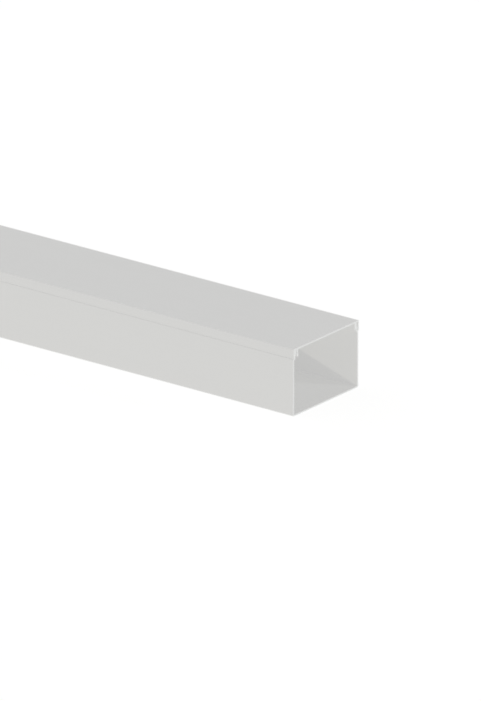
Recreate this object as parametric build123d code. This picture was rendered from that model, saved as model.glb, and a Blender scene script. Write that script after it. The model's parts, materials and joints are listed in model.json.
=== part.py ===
from build123d import *
import math
import os

# Cable trunking in two extruded pieces: a U-shaped base channel and a cover that snaps onto it.
# Millimetres. X runs along the length, Y across the width, Z up from the back of the base.
# The origin is in the middle of the back face, which lies on the wall.

# Overall sizes
length = 2000.0
width = 60.0
height = 40.0

# Walls of the two extrusions
base_wall = 0.85
base_floor = 0.7
cover_wall = 0.8
leg_wall = 0.85

# Clearances between the two pieces
fit_gap = 0.1
seam_gap = 0.15
rim_headroom = 0.35

# Cover: depth of its flanges from the top face, reach of its hook legs below the plate
flange_depth = 5.9
leg_depth = 4.6
leg_tip_flat = 0.3
cover_overhang = 0.45

# Rim of the base: it steps in behind the flange and leans inwards
rim_wall = 0.9
rim_lean = 0.78
step_backing = 0.2
step_rise = 0.85

# Snap bead inside the rim, with a lead-in above its flat nose, and the barb that catches below it
bead_reach = 0.37
bead_lead_in = 0.5
nose_height = 1.4
catch_angle = 45.0
catch_depth = 0.45

# Rounded edges
base_radius = 0.8
cover_radius = 0.3
inner_radius = 0.4
edge_radius = 0.15

# Slots through the back for the fixing screws
slot_width = 5.0
slot_length = 12.0
slot_pitch = 250.0
slot_end_margin = 125.0

# Places across the section, as distances from the middle plane
side = width / 2
wall_inside = side - base_wall
flange_inside = side - cover_wall
rim_outside = flange_inside - fit_gap
rim_inside = rim_outside - rim_wall
bead_tip = rim_inside - rim_lean - bead_reach
barb_tip = bead_tip + catch_depth
leg_outside = bead_tip - fit_gap
leg_inside = leg_outside - leg_wall

# Heights in the section
plate_under = height - cover_wall
flange_end = height - flange_depth
ledge = flange_end - seam_gap
step_top = ledge - step_backing
step_foot = step_top - step_rise
rim_top = plate_under - rim_headroom
nose_top = rim_top - bead_lead_in
nose_foot = nose_top - nose_height
leg_end = plate_under - leg_depth

# Slopes of the leaning rim and of the catching flanks, and the drop that keeps the flanks apart
rim_slope = rim_lean / (rim_top - ledge)
catch_slope = math.tan(math.radians(catch_angle))
catch_gap = fit_gap / math.cos(math.radians(catch_angle))


def rim_inner_face(level):
    """Distance of the rim's inner face from the middle at a height."""
    return rim_inside - (level - ledge) * rim_slope


def bead_underside(place):
    """Height of the bead's catching flank, or its line continued, at a distance from the middle."""
    return nose_foot - (place - bead_tip) * catch_slope


def barb_topside(place):
    """Height of the barb's catching flank, which lies parallel below the bead's."""
    return bead_underside(place) - catch_gap


def bead_root():
    """Point where the bead's catching flank meets the rim's inner face."""
    drop = (rim_inner_face(nose_foot) - bead_tip) / (1 / catch_slope - rim_slope)
    return (rim_inner_face(nose_foot - drop), nose_foot - drop)


def symmetric_face(half):
    """Face bounded by the given half outline and its mirror image across the middle plane."""
    other_half = [(-y, z) for y, z in reversed(half)]
    return make_face(Polyline(*half, *other_half, close=True))


def rounded(face, points, radius):
    """Face with the corners at these points of one half, and at their mirror images, rounded."""
    corners = [
        corner
        for corner in face.vertices()
        if any(math.dist((abs(corner.X), corner.Y), point) < edge_radius / 2 for point in points)
    ]
    return fillet(corners, radius)


def base_section():
    """U-section of the base with its stepped, leaning rims and snap beads."""
    bottom_corner = (side, 0)
    ledge_edge = (side, ledge)
    rim_top_outside = (rim_outside - rim_lean, rim_top)
    rim_top_inside = (rim_inside - rim_lean, rim_top)
    nose_top_edge = (bead_tip, nose_top)
    nose_foot_edge = (bead_tip, nose_foot)
    floor_corner = (wall_inside, base_floor)
    half = [
        bottom_corner,
        ledge_edge,
        (rim_outside, ledge),
        rim_top_outside,
        rim_top_inside,
        nose_top_edge,
        nose_foot_edge,
        bead_root(),
        (rim_inner_face(step_top), step_top),
        (wall_inside, step_foot),
        floor_corner,
    ]
    face = symmetric_face(half)
    face = rounded(face, [bottom_corner], base_radius)
    face = rounded(face, [floor_corner], inner_radius)
    rim_edges = [rim_top_outside, rim_top_inside, nose_top_edge, nose_foot_edge]
    return rounded(face, [ledge_edge, *rim_edges], edge_radius)


def cover_section():
    """Section of the cover: plate, outer flanges and inner hook legs with outward barbs."""
    leg_root = (leg_inside, plate_under)
    leg_end_inside = (leg_inside, leg_end)
    barb_point = (barb_tip, barb_topside(barb_tip))
    flange_end_inside = (flange_inside, flange_end)
    flange_end_outside = (side, flange_end)
    top_corner = (side, height)
    half = [
        leg_root,
        leg_end_inside,
        (leg_inside + leg_tip_flat, leg_end),
        barb_point,
        (leg_outside, barb_topside(leg_outside)),
        (leg_outside, plate_under),
        (flange_inside, plate_under),
        flange_end_inside,
        flange_end_outside,
        top_corner,
    ]
    face = symmetric_face(half)
    face = rounded(face, [top_corner], cover_radius)
    return rounded(face, [leg_end_inside, barb_point, flange_end_inside, flange_end_outside], edge_radius)


def extrusion(section, span):
    """Straight length of a section, centred on the origin along X."""
    return extrude(Plane.YZ * section, amount=span / 2, both=True)


def fixing_slots():
    """Cutters for the row of slots along the middle of the back."""
    slot_count = int((length - 2 * slot_end_margin) / slot_pitch + 1e-6) + 1
    outline = SlotOverall(slot_length, slot_width)
    cutter = extrude(outline, amount=base_floor, both=True)
    return [place * cutter for place in GridLocations(slot_pitch, 0, slot_count, 1)]


base_channel = extrusion(base_section(), length) - fixing_slots()
snap_cover = extrusion(cover_section(), length + 2 * cover_overhang)

os.makedirs("parts", exist_ok=True)
export_step(base_channel, "parts/base_channel.step")
export_step(snap_cover, "parts/snap_cover.step")
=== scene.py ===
import json
import math

import bpy
from mathutils import Matrix, Vector


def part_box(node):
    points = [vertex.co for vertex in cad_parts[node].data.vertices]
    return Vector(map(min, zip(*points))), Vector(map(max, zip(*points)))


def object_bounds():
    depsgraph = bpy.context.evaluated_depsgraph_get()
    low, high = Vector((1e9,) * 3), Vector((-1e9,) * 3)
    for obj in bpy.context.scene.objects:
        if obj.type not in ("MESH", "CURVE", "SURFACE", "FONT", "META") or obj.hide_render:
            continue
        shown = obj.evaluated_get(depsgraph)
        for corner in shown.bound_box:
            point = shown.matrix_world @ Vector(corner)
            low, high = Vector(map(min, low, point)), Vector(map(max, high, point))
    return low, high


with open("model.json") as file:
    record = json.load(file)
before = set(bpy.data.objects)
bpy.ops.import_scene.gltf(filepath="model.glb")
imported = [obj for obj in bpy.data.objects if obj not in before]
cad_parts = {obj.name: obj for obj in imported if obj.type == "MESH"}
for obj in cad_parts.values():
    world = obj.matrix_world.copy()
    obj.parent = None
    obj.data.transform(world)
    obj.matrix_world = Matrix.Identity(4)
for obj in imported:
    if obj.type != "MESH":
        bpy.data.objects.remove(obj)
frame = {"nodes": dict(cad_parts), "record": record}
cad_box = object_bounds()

# One length of light grey PVC cable trunking, a base channel and its cover, extruded and sawn to length.
# Metres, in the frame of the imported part: X along the length, Y across, Z up from the back.

# Photograph: its size in pixels, its scale, and the pixel of the cut end's near bottom corner
photo_width = 481
photo_height = 701
pixels_per_metre = 1789.9
corner_pixel_across = 293.13
corner_pixel_down = 416.58

# Camera: its angles in degrees, and a long lens, because the photograph is close to a parallel projection
view_azimuth = 37.54
view_elevation = 20.37
lens_mm = 1100.0
sensor_mm = 36.0
clip_start = 0.1
clip_end = 120.0

# Render: the width of the pixel filter, and the bounces before which no light path is cut short
edge_softness_pixels = 2.0
whole_bounces = 4

# Floor: where it is seen, white that is half glow and half matt, and plain pale grey as it sends light back
floor_reach = 60.0
floor_drop = 0.0001
floor_glow = 0.54
floor_matt = 0.5
floor_bounce = 0.65

# World: its light level, as a share of white on a matt white face, its tint, and its colour where seen.
# The level changes from side to side by the lean, and is whole straight up.
world_level = 0.563
world_lean = (-0.32, -0.14, 0.0)
world_tint = (1.0, 1.0, 0.989, 1.0)
world_seen = (1.0, 1.0, 1.0, 1.0)

# Lamps: levels, as shares of white on a matt white face square to the light, and the ways they shine
front_level = 0.195
front_tint = (1.0, 0.97, 0.84)
front_travel = (-0.862, 0.431, 0.268)
back_level = 0.09
back_travel = (-0.799, -0.428, -0.423)
rear_level = 0.22
rear_travel = (0.3, -0.954, 0.0)
lamp_spread_deg = 2.0

# Fill: an even ambient light, held back only in gaps narrower than its reach, such as the cover's seam
fill_level = 0.336
fill_reach = 0.00017

# PVC as extruded: colours in linear light, gloss, and the sizes of its surface detail
pvc_pale = (0.634, 0.634, 0.631, 1.0)
pvc_deep = (0.626, 0.626, 0.623, 1.0)
pvc_specular = 0.2
pvc_roughness = (0.5, 0.6)
line_reach = 0.5
streak_width = 0.003
die_line_width = 0.0006
die_line_depth = 0.000012
mottle_size = 0.012
grain_size = 0.00025
grain_depth = 0.000003
fine_octaves = 2.0
mottle_octaves = 3.0

# Sawn ends: the least share of X in the direction they face, colours paler than the skin (partly because
# sawn PVC is paler, partly painted light that brightens the end faces), and arcs round the saw's centre
cut_facing = 0.9
cut_pale_with_painted_light = (0.7, 0.71, 0.72, 1.0)
cut_deep_with_painted_light = (0.674, 0.684, 0.694, 1.0)
cut_roughness = 0.65
saw_mark_pitch = 0.0007
saw_mark_depth = 0.00002
saw_mark_waver = 3.0
saw_waver_rate = 2.0
saw_centre = (0.0, -0.05, -0.16)

# Shader nodes: radians that the wave texture's rings turn over each metre for a scale of 1, and the bump
# distance at which heights are in metres
ring_turn = 20.0
bump_unit = 1.0


def shader_node(tree, kind, **values):
    """New shader node of a kind, with some of its properties set."""
    node = tree.nodes.new(kind)
    for name, value in values.items():
        setattr(node, name, value)
    return node


def feed(tree, socket, value):
    """Links an output to an input socket, or sets the input to a number, vector or colour."""
    if isinstance(value, bpy.types.NodeSocket):
        tree.links.new(value, socket)
    else:
        socket.default_value = value


def math_node(tree, operation, *values):
    """Math node on sockets or numbers. Returns its output."""
    node = shader_node(tree, "ShaderNodeMath", operation=operation)
    for socket, value in zip(node.inputs, values):
        feed(tree, socket, value)
    return node.outputs[0]


def mix_node(tree, kind, factor, first, second):
    """Mix node between two sockets, numbers or colours, by a factor socket. Returns its output."""
    node = shader_node(tree, "ShaderNodeMix", data_type=kind)
    inputs = [socket for socket in node.inputs if socket.enabled]
    for socket, value in zip(inputs, (factor, first, second)):
        feed(tree, socket, value)
    return next(socket for socket in node.outputs if socket.enabled)


def noise(tree, coordinates, size, octaves):
    """Noise with features of a size along X, Y and Z. Returns its value socket."""
    mapping = shader_node(tree, "ShaderNodeMapping")
    feed(tree, mapping.inputs["Vector"], coordinates)
    feed(tree, mapping.inputs["Scale"], [1 / extent for extent in size])
    texture = shader_node(tree, "ShaderNodeTexNoise")
    feed(tree, texture.inputs["Vector"], mapping.outputs["Vector"])
    feed(tree, texture.inputs["Scale"], 1.0)
    feed(tree, texture.inputs["Detail"], octaves)
    return texture.outputs["Fac"]


def saw_marks(tree, coordinates):
    """Slightly wavering arcs that a circular saw leaves on a cut face. Returns their value socket."""
    mapping = shader_node(tree, "ShaderNodeMapping")
    feed(tree, mapping.inputs["Vector"], coordinates)
    feed(tree, mapping.inputs["Location"], [-place for place in saw_centre])
    texture = shader_node(tree, "ShaderNodeTexWave", wave_type="RINGS", rings_direction="X")
    feed(tree, texture.inputs["Vector"], mapping.outputs["Vector"])
    feed(tree, texture.inputs["Scale"], math.tau / (ring_turn * saw_mark_pitch))
    feed(tree, texture.inputs["Distortion"], saw_mark_waver)
    feed(tree, texture.inputs["Detail Scale"], saw_waver_rate)
    return texture.outputs["Fac"]


def cut_face_mask(tree):
    """Socket that is 1 on the sawn ends, which face along X, and 0 elsewhere."""
    split = shader_node(tree, "ShaderNodeSeparateXYZ")
    feed(tree, split.inputs[0], shader_node(tree, "ShaderNodeNewGeometry").outputs["True Normal"])
    return math_node(tree, "GREATER_THAN", math_node(tree, "ABSOLUTE", split.outputs["X"]), cut_facing)


def pvc_material(name):
    """Satin grey PVC: die lines along the length, a faint mottle, and paler sawn faces at the ends, partly
    as sawn and partly painted light.
    """
    material = bpy.data.materials.new(name)
    material.use_nodes = True
    tree = material.node_tree
    shader = tree.nodes["Principled BSDF"]
    shader.inputs["Specular IOR Level"].default_value = pvc_specular
    coordinates = shader_node(tree, "ShaderNodeTexCoord").outputs["Object"]

    streaks = noise(tree, coordinates, (line_reach, streak_width, streak_width), fine_octaves)
    die_lines = noise(tree, coordinates, (line_reach, die_line_width, die_line_width), fine_octaves)
    mottle = noise(tree, coordinates, (mottle_size, mottle_size, mottle_size), mottle_octaves)
    grain = noise(tree, coordinates, (grain_size, grain_size, grain_size), fine_octaves)
    marks = saw_marks(tree, coordinates)
    is_cut = cut_face_mask(tree)

    skin_colour = mix_node(tree, "RGBA", streaks, pvc_deep, pvc_pale)
    # The sawn ends are paler partly because sawn PVC is, and partly as painted light that brightens the end
    # faces.
    cut_colour_with_painted_light = mix_node(tree, "RGBA", marks, cut_deep_with_painted_light, cut_pale_with_painted_light)
    feed(tree, shader.inputs["Base Color"], mix_node(tree, "RGBA", is_cut, skin_colour, cut_colour_with_painted_light))

    skin_roughness = mix_node(tree, "FLOAT", mottle, *pvc_roughness)
    feed(tree, shader.inputs["Roughness"], mix_node(tree, "FLOAT", is_cut, skin_roughness, cut_roughness))

    line_height = math_node(tree, "MULTIPLY", die_lines, die_line_depth)
    grain_height = math_node(tree, "MULTIPLY", grain, grain_depth)
    skin_height = math_node(tree, "ADD", line_height, grain_height)
    cut_height = math_node(tree, "MULTIPLY", marks, saw_mark_depth)
    bump = shader_node(tree, "ShaderNodeBump")
    feed(tree, bump.inputs["Distance"], bump_unit)
    feed(tree, bump.inputs["Height"], mix_node(tree, "FLOAT", is_cut, skin_height, cut_height))
    feed(tree, shader.inputs["Normal"], bump.outputs["Normal"])
    return material


def dress_nodes():
    """Gives each piece its material."""
    for part in frame["record"]["subparts"]:
        node = frame["nodes"][part["node"]]
        material = pvc_material(part["material_slot"])
        for slot in node.material_slots:
            slot.material = material


def seen_ray(tree):
    """Socket that is 1 for rays from the camera, off gloss or through glass, and 0 for the rest."""
    path = shader_node(tree, "ShaderNodeLightPath")
    seen = path.outputs["Is Camera Ray"]
    for name in ("Is Glossy Ray", "Is Transmission Ray"):
        seen = math_node(tree, "MAXIMUM", seen, path.outputs[name])
    return seen


def floor_material():
    """White where it is seen, half glow and half matt, and matt pale grey as it sends light back."""
    material = bpy.data.materials.new("floor_white")
    material.use_nodes = True
    tree = material.node_tree
    tree.nodes.clear()
    seen = seen_ray(tree)
    matt = shader_node(tree, "ShaderNodeBsdfDiffuse")
    feed(tree, matt.inputs["Color"], mix_node(tree, "FLOAT", seen, floor_bounce, floor_matt))
    glow = shader_node(tree, "ShaderNodeEmission")
    feed(tree, glow.inputs["Strength"], math_node(tree, "MULTIPLY", seen, floor_glow))
    both = shader_node(tree, "ShaderNodeAddShader")
    feed(tree, both.inputs[0], matt.outputs[0])
    feed(tree, both.inputs[1], glow.outputs[0])
    output = shader_node(tree, "ShaderNodeOutputMaterial")
    feed(tree, output.inputs["Surface"], both.outputs[0])
    return material


def add_floor():
    """Wide level floor just below the part, which keeps a faint shadow of it."""
    low = cad_box[0].z - floor_drop
    corners = [(-1, -1), (1, -1), (1, 1), (-1, 1)]
    mesh = bpy.data.meshes.new("floor")
    mesh.from_pydata([(x * floor_reach, y * floor_reach, low) for x, y in corners], [], [(0, 1, 2, 3)])
    mesh.materials.append(floor_material())
    floor = bpy.data.objects.new("floor", mesh)
    bpy.context.collection.objects.link(floor)


def leaning_level(tree):
    """Socket with the world's light level in each direction."""
    lean = shader_node(tree, "ShaderNodeVectorMath", operation="DOT_PRODUCT")
    feed(tree, lean.inputs[0], shader_node(tree, "ShaderNodeTexCoord").outputs["Generated"])
    feed(tree, lean.inputs[1], world_lean)
    share = math_node(tree, "ADD", lean.outputs["Value"], 1.0)
    return math_node(tree, "MULTIPLY", share, world_level)


def add_world():
    """Soft surroundings: white where they are seen, a plain and slightly leaning light where they light."""
    world = bpy.data.worlds.new("studio")
    world.use_nodes = True
    # Light that comes almost evenly from all round needs no rays aimed at it.
    world.cycles.sampling_method = "NONE"
    world.light_settings.ao_factor = fill_level
    world.light_settings.distance = fill_reach
    bpy.context.scene.world = world
    tree = world.node_tree
    tree.nodes.clear()
    lighting = shader_node(tree, "ShaderNodeBackground")
    feed(tree, lighting.inputs["Color"], world_tint)
    feed(tree, lighting.inputs["Strength"], leaning_level(tree))
    showing = shader_node(tree, "ShaderNodeBackground")
    feed(tree, showing.inputs["Color"], world_seen)
    mix = shader_node(tree, "ShaderNodeMixShader")
    feed(tree, mix.inputs[0], seen_ray(tree))
    feed(tree, mix.inputs[1], lighting.outputs[0])
    feed(tree, mix.inputs[2], showing.outputs[0])
    output = shader_node(tree, "ShaderNodeOutputWorld")
    feed(tree, output.inputs["Surface"], mix.outputs[0])


def add_sun(name, travel, level):
    """Sun lamp that shines along travel and gives a white face square to it this share of white."""
    data = bpy.data.lights.new(name, "SUN")
    data.energy = math.pi * level
    data.angle = math.radians(lamp_spread_deg)
    lamp = bpy.data.objects.new(name, data)
    lamp.rotation_euler = Vector(travel).to_track_quat("-Z", "Y").to_euler()
    bpy.context.collection.objects.link(lamp)
    return lamp


def add_lamps():
    """Three weak lamps: two for the form as photographed, and a level one for the sides behind it."""
    front = add_sun("front_lamp", front_travel, front_level)
    front.data.color = front_tint
    # The front lamp shines slightly upwards, so only the part blocks its light, and not the floor.
    blockers = bpy.data.collections.new("front_lamp_blockers")
    for node in frame["nodes"].values():
        blockers.objects.link(node)
    front.light_linking.blocker_collection = blockers
    add_sun("back_lamp", back_travel, back_level)
    add_sun("rear_lamp", rear_travel, rear_level)


def add_camera():
    """Camera at the photograph's angle, placed so that the cut end's corner falls on its pixel."""
    azimuth = math.radians(view_azimuth)
    elevation = math.radians(view_elevation)
    right = Vector((math.cos(azimuth), math.sin(azimuth), 0))
    inward = Vector((-math.sin(azimuth), math.cos(azimuth), 0))
    up = inward * math.sin(elevation) + Vector((0, 0, math.cos(elevation)))
    back = right.cross(up)
    low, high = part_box("base_channel")
    middle = Vector((high.x, low.y, low.z))
    middle += right * ((photo_width / 2 - corner_pixel_across) / pixels_per_metre)
    middle += up * ((corner_pixel_down - photo_height / 2) / pixels_per_metre)
    distance = photo_height / pixels_per_metre * lens_mm / sensor_mm
    data = bpy.data.cameras.new("camera")
    data.lens = lens_mm
    data.sensor_width = sensor_mm
    data.clip_start = clip_start
    data.clip_end = clip_end
    camera = bpy.data.objects.new("camera", data)
    turn = Matrix((right, up, back)).transposed()
    camera.matrix_world = Matrix.Translation(middle + back * distance) @ turn.to_4x4()
    bpy.context.collection.objects.link(camera)
    bpy.context.scene.camera = camera


def set_render_look():
    """Plain colours, soft edges, light paths kept whole for some bounces, and the ambient fill."""
    scene = bpy.context.scene
    scene.view_settings.view_transform = "Standard"
    scene.cycles.filter_width = edge_softness_pixels
    scene.cycles.min_light_bounces = whole_bounces
    scene.cycles.use_fast_gi = True
    scene.cycles.fast_gi_method = "ADD"


dress_nodes()
add_floor()
add_world()
add_lamps()
add_camera()
set_render_look()
